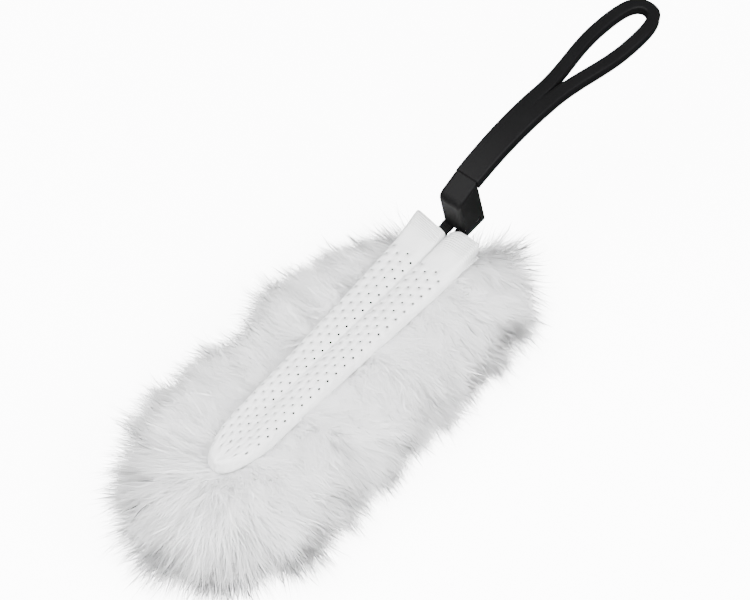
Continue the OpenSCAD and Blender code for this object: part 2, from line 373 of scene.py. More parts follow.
def rounded_plate(name, rings, half_thick, edge):
    """A flat plate with rounded edges, cut to closed outlines in millimetres, with its middle at Z 0."""
    curve = bpy.data.curves.new(name, "CURVE")
    curve.dimensions, curve.fill_mode = "2D", "BOTH"
    curve.extrude, curve.bevel_depth, curve.bevel_resolution = half_thick - edge, edge, 4
    curve.offset = -edge
    for ring in rings:
        spline = curve.splines.new("POLY")
        spline.points.add(len(ring) - 1)
        for point, (x, y) in zip(spline.points, ring):
            point.co = (x * MM, y * MM, 0, 1)
        spline.use_cyclic_u = True
    made = bpy.data.objects.new(name, curve)
    bpy.context.scene.collection.objects.link(made)
    bpy.context.view_layer.update()
    seen = made.evaluated_get(bpy.context.evaluated_depsgraph_get())
    mesh = bpy.data.meshes.new_from_object(seen)
    bpy.data.objects.remove(made)
    made = bpy.data.objects.new(name, mesh)
    bpy.context.scene.collection.objects.link(made)
    return made


def looped_grip(plastic):
    """The grip: a flat bar that opens into the hanging loop, bent along its arch."""
    length = grip_length / MM
    outer = np.concatenate([
        [[SEAM_GROOVE, neck_width / MM / 2]],
        bezier([[50, WAIST], [70, WAIST - 0.5], [82, LOOP_HALF], [101, LOOP_HALF]]),
        bezier([[101, LOOP_HALF], [118, LOOP_HALF], [length, LOOP_HALF - 1.6], [length, 0]], 20)[1:]])
    inner_half = LOOP_HALF - ARM
    inner_start = bezier([[55, 0], [72, 0.8], [84, inner_half], [101, inner_half]], 20)
    inner = np.concatenate([
        inner_start,
        bezier([[101, inner_half], [114, inner_half],
                [length - ARM, inner_half - 1], [length - ARM, 0]])[1:]])
    half = SEAM_THICK / 2
    made = rounded_plate("looped_grip", [both_sides(outer), both_sides(inner)[::-1]], half, EDGE_ROUND)
    web_half = inner_start[inner_start[:, 0] < OPENING_START]
    web_half = np.concatenate([[[53.5, 0.9]], web_half[1:] + [0, 0.9], [[OPENING_START, 2.4]]])
    web = rounded_plate("web", [both_sides(web_half)], half - RECESS_DEPTH / 2, 0.5 * MM)
    web.data.transform(Matrix.Translation((0, 0, -RECESS_DEPTH / 2)))
    tongue_half = neck_width / MM / 2 - 0.7
    tongue_ring = [(-0.6, -tongue_half), (2, -tongue_half), (2, tongue_half), (-0.6, tongue_half)]
    tongue = rounded_plate("tongue", [tongue_ring],
                           half - 0.7 * MM, 0.2 * MM)
    for plate in (made, web, tongue):
        work = bmesh.new()
        work.from_mesh(plate.data)
        bmesh.ops.remove_doubles(work, verts=work.verts, dist=0.002 * MM)
        bmesh.ops.recalc_face_normals(work, faces=work.faces)
        work.to_mesh(plate.data)
        work.free()
    cut(made, [web, tongue], "UNION")
    work = bmesh.new()
    work.from_mesh(made.data)
    for x in np.arange(2, length, 2.5):
        everything = work.verts[:] + work.edges[:] + work.faces[:]
        bmesh.ops.bisect_plane(work, geom=everything, plane_co=(x * MM, 0, 0), plane_no=(1, 0, 0))
    for vert in work.verts:
        x, y, z = vert.co
        height, bend = grip_line(x)
        thin = (SEAM_THICK + (LOOP_THICK - SEAM_THICK) * x / grip_length) / SEAM_THICK
        vert.co = (
            grip_start.x + x - z * thin * math.sin(bend), y,
            grip_start.z + height + z * thin * math.cos(bend))
    work.to_mesh(made.data)
    work.free()
    sharpen(made, 32)
    made.data.materials.clear()
    made.data.materials.append(plastic)
    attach(made, "handle")
    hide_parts("grip")
    return made


def rounded_corner(before, corner, after, radius, steps=5):
    """Points of an arc that rounds a corner of an outline."""
    before, corner, after = (np.array(p, float) for p in (before, corner, after))
    u, v = before - corner, after - corner
    u, v = u / np.linalg.norm(u), v / np.linalg.norm(v)
    half = math.acos(np.clip(u @ v, -1, 1)) / 2
    reach = radius / math.tan(half)
    start, end = corner + u * reach, corner + v * reach
    t = np.linspace(0, 1, steps)[:, None]
    return list((1 - t) ** 2 * start + 2 * t * (1 - t) * corner + t**2 * end)


def inset_outline(outline, inset):
    """A convex outline drawn in, each edge by its own distance."""
    points = np.array(outline, float)
    edges = np.roll(points, -1, 0) - points
    edges /= np.linalg.norm(edges, axis=1, keepdims=True)
    middle = points.mean(0)
    inward = np.stack([-edges[:, 1], edges[:, 0]], 1)
    inward *= np.sign(np.sum(inward * (middle - points), axis=1))[:, None]
    drawn = []
    for k in range(len(points)):
        a, b = k - 1, k
        matrix = np.array([inward[a], inward[b]])
        reach = np.array([inward[a] @ points[a] + inset[a], inward[b] @ points[b] + inset[b]])
        if abs(np.linalg.det(matrix)) < 0.02:
            drawn.append(points[k] + inward[b] * inset[b])
        else:
            drawn.append(np.linalg.solve(matrix, reach))
    return np.array(drawn)


def neck(plastic):
    """The neck: a wedge-sided housing with soft edges, slotted below for the fork and bored for the pin."""
    front_low, back_low, front_foot = (-0.9, 0.6), (13.3, -4), (0.1, -4)
    seam_top, seam_low = SEAM_TOP / MM, SEAM_LOW / MM
    outline = [
        *rounded_corner(front_foot, front_low, (-4.9, 21), 3.2, 4),
        *rounded_corner(front_low, (-5.3, 23.6), seam_top, 4.6, 9),
        tuple(seam_top), tuple(seam_low),
        *rounded_corner(seam_low, back_low, front_foot, 0.5, 3), front_foot]
    soft = 13
    half, count, layers, edge = neck_width / 2, len(outline), 7, 1.9
    rounding = np.array([edge if k < soft else 0.0 for k in range(count)])
    rounding[soft + 2:] = 0.4
    rounding[-1] = edge
    verts, faces = [], []
    rings = [(-1, t) for t in np.linspace(1, 0, layers)] + [(1, t) for t in np.linspace(0, 1, layers)]
    for side, t in rings:
        turn = t * math.pi / 2
        y = side * (half - edge * MM * (1 - math.sin(turn)))
        for x, z in inset_outline(outline, rounding * (1 - math.cos(turn))):
            verts.append((foot.x + x * MM, y, foot.z + z * MM))
    for r in range(len(rings) - 1):
        for k in range(count):
            n = (k + 1) % count
            faces.append((r * count + k, r * count + n, (r + 1) * count + n, (r + 1) * count + k))
    last = (len(rings) - 1) * count
    faces += [tuple(range(count)), tuple(last + k for k in reversed(range(count)))]
    made = new_object("neck", verts, faces)
    work = bmesh.new()
    work.from_mesh(made.data)
    bmesh.ops.remove_doubles(work, verts=work.verts, dist=0.002 * MM)
    bmesh.ops.recalc_face_normals(work, faces=work.faces)
    work.to_mesh(made.data)
    work.free()
    slot_half = half - 1.8 * MM
    front_wall, top = 1.9 * MM, 9 * MM
    x, z = foot.x, foot.z
    pin = (pin_low + pin_high) / 2
    tools = [
        box_tool((x + front_wall, -slot_half, z - 6 * MM), (x + 20 * MM, slot_half, z + 4.5 * MM)),
        box_tool((x + front_wall, -slot_half, z - 1 * MM), (x + 9.6 * MM, slot_half, z + top)),
        box_tool((x - 2 * MM, -slot_half, z - 6 * MM), (x + 4 * MM, slot_half, z + 0.1 * MM)),
        bore_tool(pin, (pin_high.z - pin_low.z) / 2, 2 * neck_width)]
    cut(made, tools)
    sharpen(made, 32)
    made.data.materials.clear()
    made.data.materials.append(plastic)
    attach(made, "handle")
    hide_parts("neck_housing")
    return made


def fork(plastic):
    """The fork: the tines and barrel, with the small edge radius of a moulding."""
    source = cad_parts["fork"]
    made = bpy.data.objects.new("two_tined_fork", source.data.copy())
    bpy.context.scene.collection.objects.link(made)
    work = bmesh.new()
    work.from_mesh(made.data)
    bmesh.ops.remove_doubles(work, verts=work.verts, dist=0.002 * MM)
    bmesh.ops.dissolve_limit(work, angle_limit=math.radians(1), verts=work.verts, edges=work.edges)
    work.to_mesh(made.data)
    work.free()
    modifier(made, "BEVEL", width=0.25 * MM, segments=2, limit_method="ANGLE",
             angle_limit=math.radians(50), miter_outer="MITER_ARC")
    apply_modifiers(made)
    sharpen(made, 35)
    made.data.materials.clear()
    made.data.materials.append(plastic)
    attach(made, "fork")
    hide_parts("fork")
    return made


# ---------------------------------------------------------------- sleeve
FINE_ALONG, FINE_ACROSS = 1.3 * MM, 4.125 * MM / 4
CELLS_ALONG, CELLS_POCKET, CELLS_WALL = 116, 16, 7

# Rows of holes are counted from well below the cloth, so that no row has a number under 0
MIDDLE_ROW, POCKET_ROWS = 100.0, 4.0


def perforating_tree(material):
    """Geometry nodes that punch staggered rows of round holes in a fine flat grid."""
    tree = bpy.data.node_groups.new("punch staggered holes", "GeometryNodeTree")
    face = tree.interface
    face.new_socket("Cloth", in_out="INPUT", socket_type="NodeSocketGeometry")
    sizes = {"Pitch along": 5.2 * MM, "Pitch across": 4.125 * MM, "Large hole": 0.6 * MM,
             "Small hole": 0.52 * MM, "First hole": 20 * MM, "Last hole": 141 * MM, "Side margin": 15.5 * MM}
    for name, value in sizes.items():
        face.new_socket(name, in_out="INPUT", socket_type="NodeSocketFloat").default_value = value
    face.new_socket("Cloth", in_out="OUTPUT", socket_type="NodeSocketGeometry")
    given = add(tree, "NodeGroupInput").outputs
    place = out(add(tree, "GeometryNodeInputPosition"))
    split = add(tree, "ShaderNodeSeparateXYZ", {"Vector": place})
    x, y = out(split, "X"), out(split, "Y")
    row = maths(tree, "ADD", maths(tree, "DIVIDE", y, given["Pitch across"]), MIDDLE_ROW + 1e-4)
    shift = maths(tree, "MULTIPLY", maths(tree, "MODULO", maths(tree, "FLOOR", row), 2.0), 0.5)
    column = maths(tree, "ADD", maths(tree, "DIVIDE", x, given["Pitch along"]), 1e-4)
    in_column = maths(tree, "SUBTRACT", maths(tree, "FRACT", maths(tree, "ADD", column, shift)), 0.5)
    in_row = maths(tree, "SUBTRACT", maths(tree, "FRACT", row), 0.5)
    reach = maths(tree, "MAXIMUM", maths(tree, "ABSOLUTE", in_column), maths(tree, "ABSOLUTE", in_row))
    dx = maths(tree, "MULTIPLY", in_column, given["Pitch along"])
    dy = maths(tree, "MULTIPLY", in_row, given["Pitch across"])
    local = out(add(tree, "ShaderNodeCombineXYZ", {"X": dx, "Y": dy}))
    hole_x = maths(tree, "SUBTRACT", x, dx)
    inside = maths(tree, "MULTIPLY", maths(tree, "GREATER_THAN", hole_x, given["First hole"]),
                   maths(tree, "LESS_THAN", hole_x, given["Last hole"]))
    inside = maths(tree, "MULTIPLY", inside,
                   maths(tree, "LESS_THAN", maths(tree, "ABSOLUTE", y), given["Side margin"]))
    near = maths(tree, "MULTIPLY", inside, maths(tree, "LESS_THAN", reach, 0.3))
    middle = maths(tree, "MULTIPLY", inside, maths(tree, "LESS_THAN", reach, 0.03))
    # Corners of the block sit on the circle's diagonals, and its sides on the axes
    sign = vectors(tree, "SIGN", out(add(tree, "ShaderNodeCombineXYZ", {
        "X": maths(tree, "SNAP", maths(tree, "ADD", in_column, 0.125), 0.25),
        "Y": maths(tree, "SNAP", maths(tree, "ADD", in_row, 0.125), 0.25)})))
    # The row beside the seam and the far side's outer row have the large holes
    number = maths(tree, "FLOOR", row)
    large = maths(tree, "ADD", maths(tree, "COMPARE", number, MIDDLE_ROW, 0.5),
                  maths(tree, "COMPARE", number, MIDDLE_ROW - POCKET_ROWS, 0.5))
    radius = maths(tree, "MULTIPLY_ADD", large, maths(
        tree, "SUBTRACT", given["Large hole"], given["Small hole"]), given["Small hole"])
    ring = vectors(tree, "SCALE", vectors(tree, "NORMALIZE", sign), scale=radius)
    moved = add(tree, "GeometryNodeSetPosition", {
        "Geometry": given["Cloth"], "Selection": near, "Offset": vectors(tree, "SUBTRACT", ring, local)})
    open_cloth = add(tree, "GeometryNodeDeleteGeometry", {"Geometry": out(moved), "Selection": middle})
    real = add(tree, "GeometryNodeRealizeInstances", {"Geometry": out(open_cloth)})
    coated = add(tree, "GeometryNodeSetMaterial", {"Geometry": out(real), "Material": material})
    result = add(tree, "NodeGroupOutput")
    tree.links.new(out(coated), result.inputs["Cloth"])
    return tree


def run_tree(made, tree, **values):
    """Runs a node tree on an object, with some inputs set, and keeps the result as a plain mesh."""
    added = made.modifiers.new(tree.name, "NODES")
    added.node_group = tree
    for item in tree.interface.items_tree:
        if item.in_out == "INPUT" and item.name in values:
            added[item.identifier] = values[item.name]
    return apply_modifiers(made)


def flat_grid(name, columns, rows, step_x, step_y):
    """A flat grid that starts at X 0 and is centred on Y."""
    xs, ys = np.arange(columns + 1) * step_x, (np.arange(rows + 1) - rows / 2) * step_y
    verts = [(x, y, 0) for x in xs for y in ys]
    across = rows + 1
    faces = [
        (i * across + j, (i + 1) * across + j, (i + 1) * across + j + 1, i * across + j + 1)
        for i in range(columns) for j in range(rows)]
    return new_object(name, verts, faces)


def sleeve_half(v):
    """Half width of the sleeve in plan at a distance v from its mouths."""
    sides = bezier([[0, mouth_half], [35 * MM, mouth_half - 2.6 * MM], [70 * MM, END_HALF + 1.6 * MM],
                    [sleeve_length - END_ROUND, END_HALF]], 40)
    straight = np.interp(v, sides[:, 0], sides[:, 1])
    t = np.clip((v - sleeve_length + END_ROUND) / END_ROUND, 0, 1)
    return straight * np.sqrt(np.maximum(1 - t**2.3, 0))


def along_sleeve(v):
    """Packs the grid's last steps closer, so that the rounded end stays smooth."""
    share = v / (CELLS_ALONG * FINE_ALONG)
    last = np.clip((share - 0.9) / 0.1, 0, 1)
    return sleeve_length * np.minimum(np.minimum(share, 0.9) + 0.1 * np.sin(last * math.pi / 2), 1)


def sleeve_shape(flat, roof, wall):
    """Bends the flat cloth over the two pockets: a valley down the middle, soft shoulders, side walls."""
    v = along_sleeve(flat[:, 0])
    y = flat[:, 1]
    side = np.where(y < 0, -1.0, 1.0)
    fraction = np.minimum(np.abs(y) / (CELLS_POCKET * FINE_ACROSS), 1)
    below = np.maximum(np.abs(y) - CELLS_POCKET * FINE_ACROSS, 0)
    half = sleeve_half(v)
    step = 0.4 * MM
    ahead, behind = np.minimum(v + step, sleeve_length), np.maximum(v - step, 0)
    slope = (sleeve_half(ahead) - sleeve_half(behind)) / (ahead - behind)
    size = np.sqrt(1 + slope**2)
    out_x, out_y = -slope / size, 1 / size
    out_y = np.where(v > sleeve_length - 0.01 * MM, 0.0, out_y)
    out_x = np.where(v > sleeve_length - 0.01 * MM, 1.0, out_x)
    right = (side < 0).astype(float)
    from_seam, from_edge = fraction * half, (1 - fraction) * half
    shoulder = (0.7 + 1.5 * ease(v, 0, 22 * MM)) * MM
    drop = shoulder - np.sqrt(np.maximum(shoulder**2 - np.maximum(shoulder - from_edge, 0) ** 2, 0))
    crown = (0.35 + 0.35 * right) * MM * np.sin(math.pi * fraction) * ease(half, 2 * MM, 9 * MM)
    valley = (-1.9 * MM * np.exp(-(from_seam / (0.5 * MM)) ** 2)
              - 0.35 * MM * np.exp(-(from_seam / (2.4 * MM)) ** 2))
    valley *= (1 + 0.6 * (1 - ease(v, 0, 40 * MM))) * (1 - 0.6 * ease(v, 50 * MM, 95 * MM))
    valley *= 1 - ease(v, 0.72 * sleeve_length, 0.82 * sleeve_length)
    lift = (1 - ease(v, 0, 26 * MM)) ** 1.5
    open_right = lift * np.interp(fraction, [0, 0.12, 0.3, 0.7, 1], [0, 0.8, 1.6, 3.2, 5.2]) * MM * right
    open_left = lift * 1.6 * fraction * MM * (1 - right)
    wrinkle = (1 - ease(v, 3 * MM, 17 * MM)) * (1 - right) * np.exp(-((fraction - 0.2) / 0.18) ** 2)
    wrinkle = wrinkle * 0.55 * MM * np.sin(v / MM * 1.9 + fraction * 9)
    ripple = np.array([
        noise.noise(Vector((a * 60, b * 90, 2.0))) + 0.4 * noise.noise(Vector((a * 190, b * 190, 5.0)))
        for a, b in zip(v, y)]) * 0.55 * MM
    z = roof - drop + crown + valley + open_right + open_left + wrinkle + ripple
    tall = 1 + 0.1 * (open_right + open_left) / MM
    z -= below * tall * wall
    bulge = 0.7 * MM * np.sin(np.clip(below / WALL_HEIGHT, 0, 1) * math.pi)
    tuck = -1.6 * MM * ease(below, 0.4 * WALL_HEIGHT, WALL_HEIGHT)
    away = (bulge + tuck) * (below > 0)
    x = mouth_x - v - away * out_x
    mouth = right * np.interp(fraction, [0, 0.1, 0.3, 0.6, 1], [-2.3, -0.5, 0.7, 0.3, -0.9]) * MM
    mouth -= (1 - right) * (2.5 - 1.1 * fraction) * MM
    mouth -= right * 1.3 * MM * below / WALL_HEIGHT
    at_mouth = np.exp(-v / (9 * MM))
    x = x + mouth * at_mouth
    lean_in = right * 2.0 * MM * below / WALL_HEIGHT * at_mouth
    plan_y = side * (fraction * half + away * out_y - lean_in)
    return np.stack([x, plan_y, z], 1)


def keep_flat_as_uv(made, flat):
    """The cloth's own flat coordinates, 200 mm to the unit, so that a pattern follows the cloth."""
    layer = made.data.uv_layers.new(name="flat")
    corners = np.zeros(len(made.data.loops), np.int32)
    made.data.loops.foreach_get("vertex_index", corners)
    uv = np.stack([flat[:, 0] / 0.2, flat[:, 1] / 0.2 + 0.5], 1)[corners]
    layer.data.foreach_set("uv", uv.astype(np.float32).ravel())


def mesh_points(made):
    points = np.zeros(len(made.data.vertices) * 3, np.float32)
    made.data.vertices.foreach_get("co", points)
    return points.reshape(-1, 3).astype(float)


def place_points(made, points):
    made.data.vertices.foreach_set("co", np.asarray(points, np.float32).ravel())
    made.data.update()


def sleeve(cloth):
    """Two pockets in one: a perforated cloth on top, and a plain one under it on the fibres."""
    rows = 2 * (CELLS_POCKET + CELLS_WALL)
    top = flat_grid("perforated_sleeve_cloth", CELLS_ALONG, rows, FINE_ALONG, FINE_ACROSS)
    run_tree(top, perforating_tree(cloth))
    flat = mesh_points(top)
    keep_flat_as_uv(top, flat)
    roof = sleeve_high.z + 0.5 * MM
    place_points(top, turned(sleeve_shape(flat, roof, 1.0)))
    under_rows = 2 * CELLS_POCKET
    under = flat_grid("lower_sleeve_cloth", CELLS_ALONG // 2, under_rows, 2 * FINE_ALONG, FINE_ACROSS)
    run_tree(under, perforating_tree(cloth), **{"Last hole": 0.0})
    flat = mesh_points(under)
    keep_flat_as_uv(under, flat)
    v = along_sleeve(flat[:, 0])
    fraction = np.abs(flat[:, 1]) / (CELLS_POCKET * FINE_ACROSS)
    half = sleeve_half(v) - 0.6 * MM
    sag = 0.5 * MM * np.sin(fraction * math.pi) + 0.8 * MM * (1 - fraction)
    points = turned(np.stack([mouth_x - v, np.sign(flat[:, 1]) * fraction * np.maximum(half, 0),
                              base_low.z + 0.9 * MM + sag], 1))
    # Where no tine lies in the pocket, the two cloths nearly touch
    reach = np.clip((foot.x - TINE_START - points[:, 0]) / TINE_TAPER, 0, 1)
    inner, outer = (3.4 - 0.8 * reach) * MM, (9.4 - 2.8 * reach) * MM
    across = np.abs(points[:, 1])
    clear = np.maximum(ease(inner - across, 0.3 * MM, 1.3 * MM), ease(across - outer, 0.4 * MM, 1.6 * MM))
    clear = np.maximum(clear, ease(foot.x - TINE_END - points[:, 0], 1 * MM, 4 * MM))
    clear *= ease(v, 6 * MM, 24 * MM)
    points[:, 2] += clear * (sleeve_high.z - 1.6 * MM - points[:, 2])
    place_points(under, points)
    for made in (top, under):
        modifier(made, "SOLIDIFY", thickness=CLOTH, offset=0)
        made.data.shade_smooth()
        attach(made, "refill")
    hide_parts("sleeve_top")
    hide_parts("sleeve_base")


# ---------------------------------------------------------------- fibres
SPINE = (sleeve_low.x + 8 * MM, mouth_x - 2 * MM)


# Where the bundle is fuller or thinner than an even outline: the angle round its middle
# and the spread in degrees, and the millimetres
BULGES = [(180, 25, -5), (138, 14, 5), (-15, 8, 5), (0, 6, -8)]


def bundle_outline(angle, inset):
    """The bundle's plan at an angle round its middle: long, with full corners and a skewed handle end."""
    c, s = np.cos(angle), np.sin(angle)
    corner = np.where(c > 0, 0.6, 0.74)
    y = (bundle_half.y - inset) * np.sign(s) * np.abs(s) ** corner
    x = (bundle_half.x - inset) * np.sign(c) * np.abs(c) ** corner
    handle_end = 1.12 - 0.22 * ease(y, -12 * MM, 14 * MM)
    x = np.where(x > 0, x * handle_end, x * 0.88)
    y = y * 0.95 * (1 - 0.26 * ease(-x, 50 * MM, 105 * MM) * (s < 0))
    swell = 0
    for place, spread, fuller in BULGES:
        away = (np.degrees(np.arctan2(y, x)) - place + 180) % 360 - 180
        swell = swell + fuller * MM * np.exp(-(away / spread)**2)
    size = np.hypot(x, 1.5 * y) + 1e-9
    x, y = x + swell * x / size, y + swell * 1.5 * y / size
    return bundle_mid.x + x, y


# The core's height, level by level, against how far it draws in from the bundle's outline, in millimetres
PROFILE = [(50, 2), (40, 2), (31, 2.5), (24, 5), (19.5, 10), (18, 16), (17.5, 22), (18.5, 28),
           (21, 33), (25, 36.5), (30, 39), (36, 40), (43, 40), (50, 40)]


def core_body(felt):
    """The matted heart of the fibre bundle, which carries the locks."""
    around = 96
    verts, faces = [], []
    levels = np.array(PROFILE)
    steps = np.linspace(0, len(levels) - 1, 40)
    inset = np.interp(steps, range(len(levels)), levels[:, 0]) * MM
    height = np.interp(steps, range(len(levels)), levels[:, 1]) * MM
    angles = np.arange(around) * 2 * math.pi / around
    rings = len(steps)
    for k in range(rings):
        px, py = bundle_outline(angles, inset[k])
        bulk = ease(-inset[k], -bundle_half.y, -28 * MM)
        for a in range(around):
            p = Vector((px[a], py[a], height[k]))
            lump = noise.noise(p * 55) + 0.5 * noise.noise(p * 120)
            away = Vector((p.x - bundle_mid.x, p.y * 1.6, 0)).normalized()
            p += away * lump * 5 * MM * bulk
            p.z += 2.5 * MM * noise.noise(p * 80 + Vector((3, 0, 0))) * bulk
            verts.append(p)
    for k in range(rings - 1):
        for a in range(around):
            b = (a + 1) % around
            faces.append((k * around + a, k * around + b, (k + 1) * around + b, (k + 1) * around + a))
    made = new_object("fibre_core", turned(verts), faces)
    work = bmesh.new()
    work.from_mesh(made.data)
    bmesh.ops.remove_doubles(work, verts=work.verts, dist=0.05 * MM)
    bmesh.ops.recalc_face_normals(work, faces=work.faces)
    work.to_mesh(made.data)
    work.free()
    made.data.materials.append(felt)
    return made


def lock_of_fibres(name, seed, fan, close, fibres=8):
    """A small lock of fibres that grows along +X and lies on the XY plane, each one a tapering ribbon."""
    rng = np.random.default_rng(seed)
    verts, faces, along = [], [], []
    length, steps = 17 * MM, 4
    for _ in range(fibres):
        root = rng.normal(0, 0.7, 3) * MM * [1.2, 1, 0.5]
        aim = np.array([1, rng.normal(0, fan), rng.normal(0, fan * 0.7)])
        bow = np.array([0, rng.normal(0, 0.14), rng.normal(0, 0.10)])
        reach = length * rng.uniform(0.62, 1.08)
        roll = rng.uniform(-0.9, 0.9)
        flat = np.array([0, math.cos(roll), math.sin(roll)])
        width = rng.uniform(0.11, 0.19) * MM
        first = len(verts)
        for k in range(steps + 1):
            t = k / steps
            side = (root * [0, 1, 1]) * (1 - close * t * t)
            p = root * [1, 0, 0] + side + reach * (aim * t * (1 - 0.35 * close * t) + bow * t * t)
            p[0] = root[0] + reach * t
            w = width * (1 - 0.55 * t) / 2
            if k < steps:
                verts += [p + flat * w, p - flat * w]
                along += [t, t]
            else:
                verts.append(p)
                along.append(1.0)
        for k in range(steps - 1):
            a = first + 2 * k
            faces.append((a, a + 1, a + 3, a + 2))
        faces.append((first + 2 * steps - 2, first + 2 * steps - 1, first + 2 * steps))
    made = new_object(name, verts, faces)
    layer = made.data.attributes.new("along", "FLOAT", "POINT")
    layer.data.foreach_set("value", np.array(along, np.float32))
    return made


def growing_tree(locks, material):
    """Geometry nodes that plant locks of fibre on a surface, combed the way its flow attribute points."""
    tree = bpy.data.node_groups.new("grow fibre locks", "GeometryNodeTree")
    face = tree.interface
    face.new_socket("Surface", in_out="INPUT", socket_type="NodeSocketGeometry")
    for name, value in {"Density": 500000.0, "Smallest": 0.75, "Largest": 1.35, "Unruly": 0.22,
                        "Patch swing": 2.4, "Wave": 2.8 * MM, "Gather": 0.1, "Droop": 2.0 * MM}.items():
        face.new_socket(name, in_out="INPUT", socket_type="NodeSocketFloat").default_value = value
    face.new_socket("Seed", in_out="INPUT", socket_type="NodeSocketInt").default_value = 1
    face.new_socket("Locks", in_out="OUTPUT", socket_type="NodeSocketGeometry")
    given = add(tree, "NodeGroupInput").outputs
    planted = add(tree, "GeometryNodeDistributePointsOnFaces", {
        "Mesh": given["Surface"], "Density": given["Density"], "Seed": given["Seed"]})
    marked = add(tree, "GeometryNodeStoreNamedAttribute", {
        "Geometry": out(planted, "Points"), "Name": "lie", "Value": out(planted, "Normal")},
        data_type="FLOAT_VECTOR", domain="POINT")
    place = out(add(tree, "GeometryNodeInputPosition"))
    flow = out(add(tree, "GeometryNodeInputNamedAttribute", {"Name": "flow"}, data_type="FLOAT_VECTOR"))
    size = out(add(tree, "GeometryNodeInputNamedAttribute", {"Name": "size"}, data_type="FLOAT"))
    patches = add(tree, "ShaderNodeTexNoise", {"Vector": place, "Scale": 70.0, "Detail": 1.0})
    swing = vectors(tree, "SUBTRACT", out(patches, "Color"), (0.5, 0.5, 0.5))
    swing = vectors(tree, "SCALE", swing, scale=given["Patch swing"])
    stray = out(add(tree, "FunctionNodeRandomValue", {
        "Min": (-1.0, -1.0, -1.0), "Max": (1.0, 1.0, 1.0), "Seed": given["Seed"]},
        data_type="FLOAT_VECTOR"))
    stray = vectors(tree, "SCALE", stray, scale=given["Unruly"])
    aim = vectors(tree, "ADD", vectors(tree, "ADD", flow, swing), stray)
    lie = out(add(tree, "GeometryNodeInputNamedAttribute", {"Name": "lie"}, data_type="FLOAT_VECTOR"))
    pose = add(tree, "FunctionNodeAxesToRotation", {"Primary Axis": aim, "Secondary Axis": lie},
               primary_axis="X", secondary_axis="Z")
    scale = out(add(tree, "FunctionNodeRandomValue", {
        "Min": given["Smallest"], "Max": given["Largest"]}, data_type="FLOAT"))
    scale = maths(tree, "MULTIPLY", scale, size)
    bunch = add(tree, "GeometryNodeJoinGeometry")
    for lock in locks:
        info = add(tree, "GeometryNodeObjectInfo", {"Object": lock, "As Instance": True})
        tree.links.new(out(info, "Geometry"), bunch.inputs[0])
    which = out(add(tree, "FunctionNodeRandomValue", {"Min": 0, "Max": len(locks) - 1}, data_type="INT"))
    grown = add(tree, "GeometryNodeInstanceOnPoints", {
        "Points": out(marked), "Instance": out(bunch), "Pick Instance": True, "Instance Index": which,
        "Rotation": out(pose), "Scale": scale})
    real = add(tree, "GeometryNodeRealizeInstances", {"Geometry": out(grown)})
    along = out(add(tree, "GeometryNodeInputNamedAttribute", {"Name": "along"}, data_type="FLOAT"))
    bend = maths(tree, "POWER", along, 1.5)
    waves = add(tree, "ShaderNodeTexNoise", {"Vector": place, "Scale": 130.0, "Detail": 2.0})
    wave = vectors(tree, "SUBTRACT", out(waves, "Color"), (0.5, 0.5, 0.5))
    wave = vectors(tree, "SCALE", wave, scale=maths(tree, "MULTIPLY", bend, maths(
        tree, "MULTIPLY", given["Wave"], 2.0)))
    cells = add(tree, "ShaderNodeTexVoronoi", {"Vector": place, "Scale": 120.0})
    gather = vectors(tree, "SCALE", vectors(tree, "SUBTRACT", out(cells, "Position"), place), scale=maths(
        tree, "MULTIPLY", maths(tree, "MULTIPLY", along, along), given["Gather"]))
    fall = out(add(tree, "ShaderNodeCombineXYZ", {
        "Z": maths(tree, "MULTIPLY", maths(tree, "MULTIPLY", along, along), maths(
            tree, "MULTIPLY", given["Droop"], -1.0))}))
    waved = add(tree, "GeometryNodeSetPosition", {
        "Geometry": out(real), "Offset": vectors(tree, "ADD", vectors(tree, "ADD", wave, fall), gather)})
    coated = add(tree, "GeometryNodeSetMaterial", {"Geometry": out(waved), "Material": material})
    result = add(tree, "NodeGroupOutput")
    tree.links.new(out(coated), result.inputs["Locks"])
    return tree


def combed(points, normals):
    """Which way the locks lie at each point of the core, and how long they are."""
    plan = points[:, :2].copy()
    spine_x = np.clip(plan[:, 0], *SPINE)
    away = plan - np.stack([spine_x, np.zeros(len(plan))], 1)
    reach = np.linalg.norm(away, axis=1, keepdims=True)
    away = away / np.maximum(reach, 1e-6)
    tip_end = ease(SPINE[0] + 25 * MM - plan[:, 0], 0, 40 * MM)[:, None]
    lean = np.array([[-0.25, 0.0]]) * (1 - tip_end)
    away = away + lean
    flow = np.concatenate([away, np.zeros((len(plan), 1))], 1) * 0.85
    flow += normals * np.where(normals[:, 2:] < -0.3, 0.25, 0.42)
    flow[:, 2] -= 0.12
    size = 0.85 + 0.35 * tip_end[:, 0] + 0.15 * ease(np.abs(normals[:, 2]), 0.9, 0.2)
    near_neck = ease(plan[:, 0], mouth_x - 12 * MM, mouth_x + 4 * MM)
    near_neck *= ease(-np.abs(plan[:, 1]), -16 * MM, -8 * MM)
    size *= 1 - 0.55 * near_neck * (normals[:, 2] > 0.5)
    size *= [1 + 0.35 * noise.noise(Vector(p) * 75) + 0.25 * noise.noise(Vector(p) * 180) for p in points]
    return flow, size


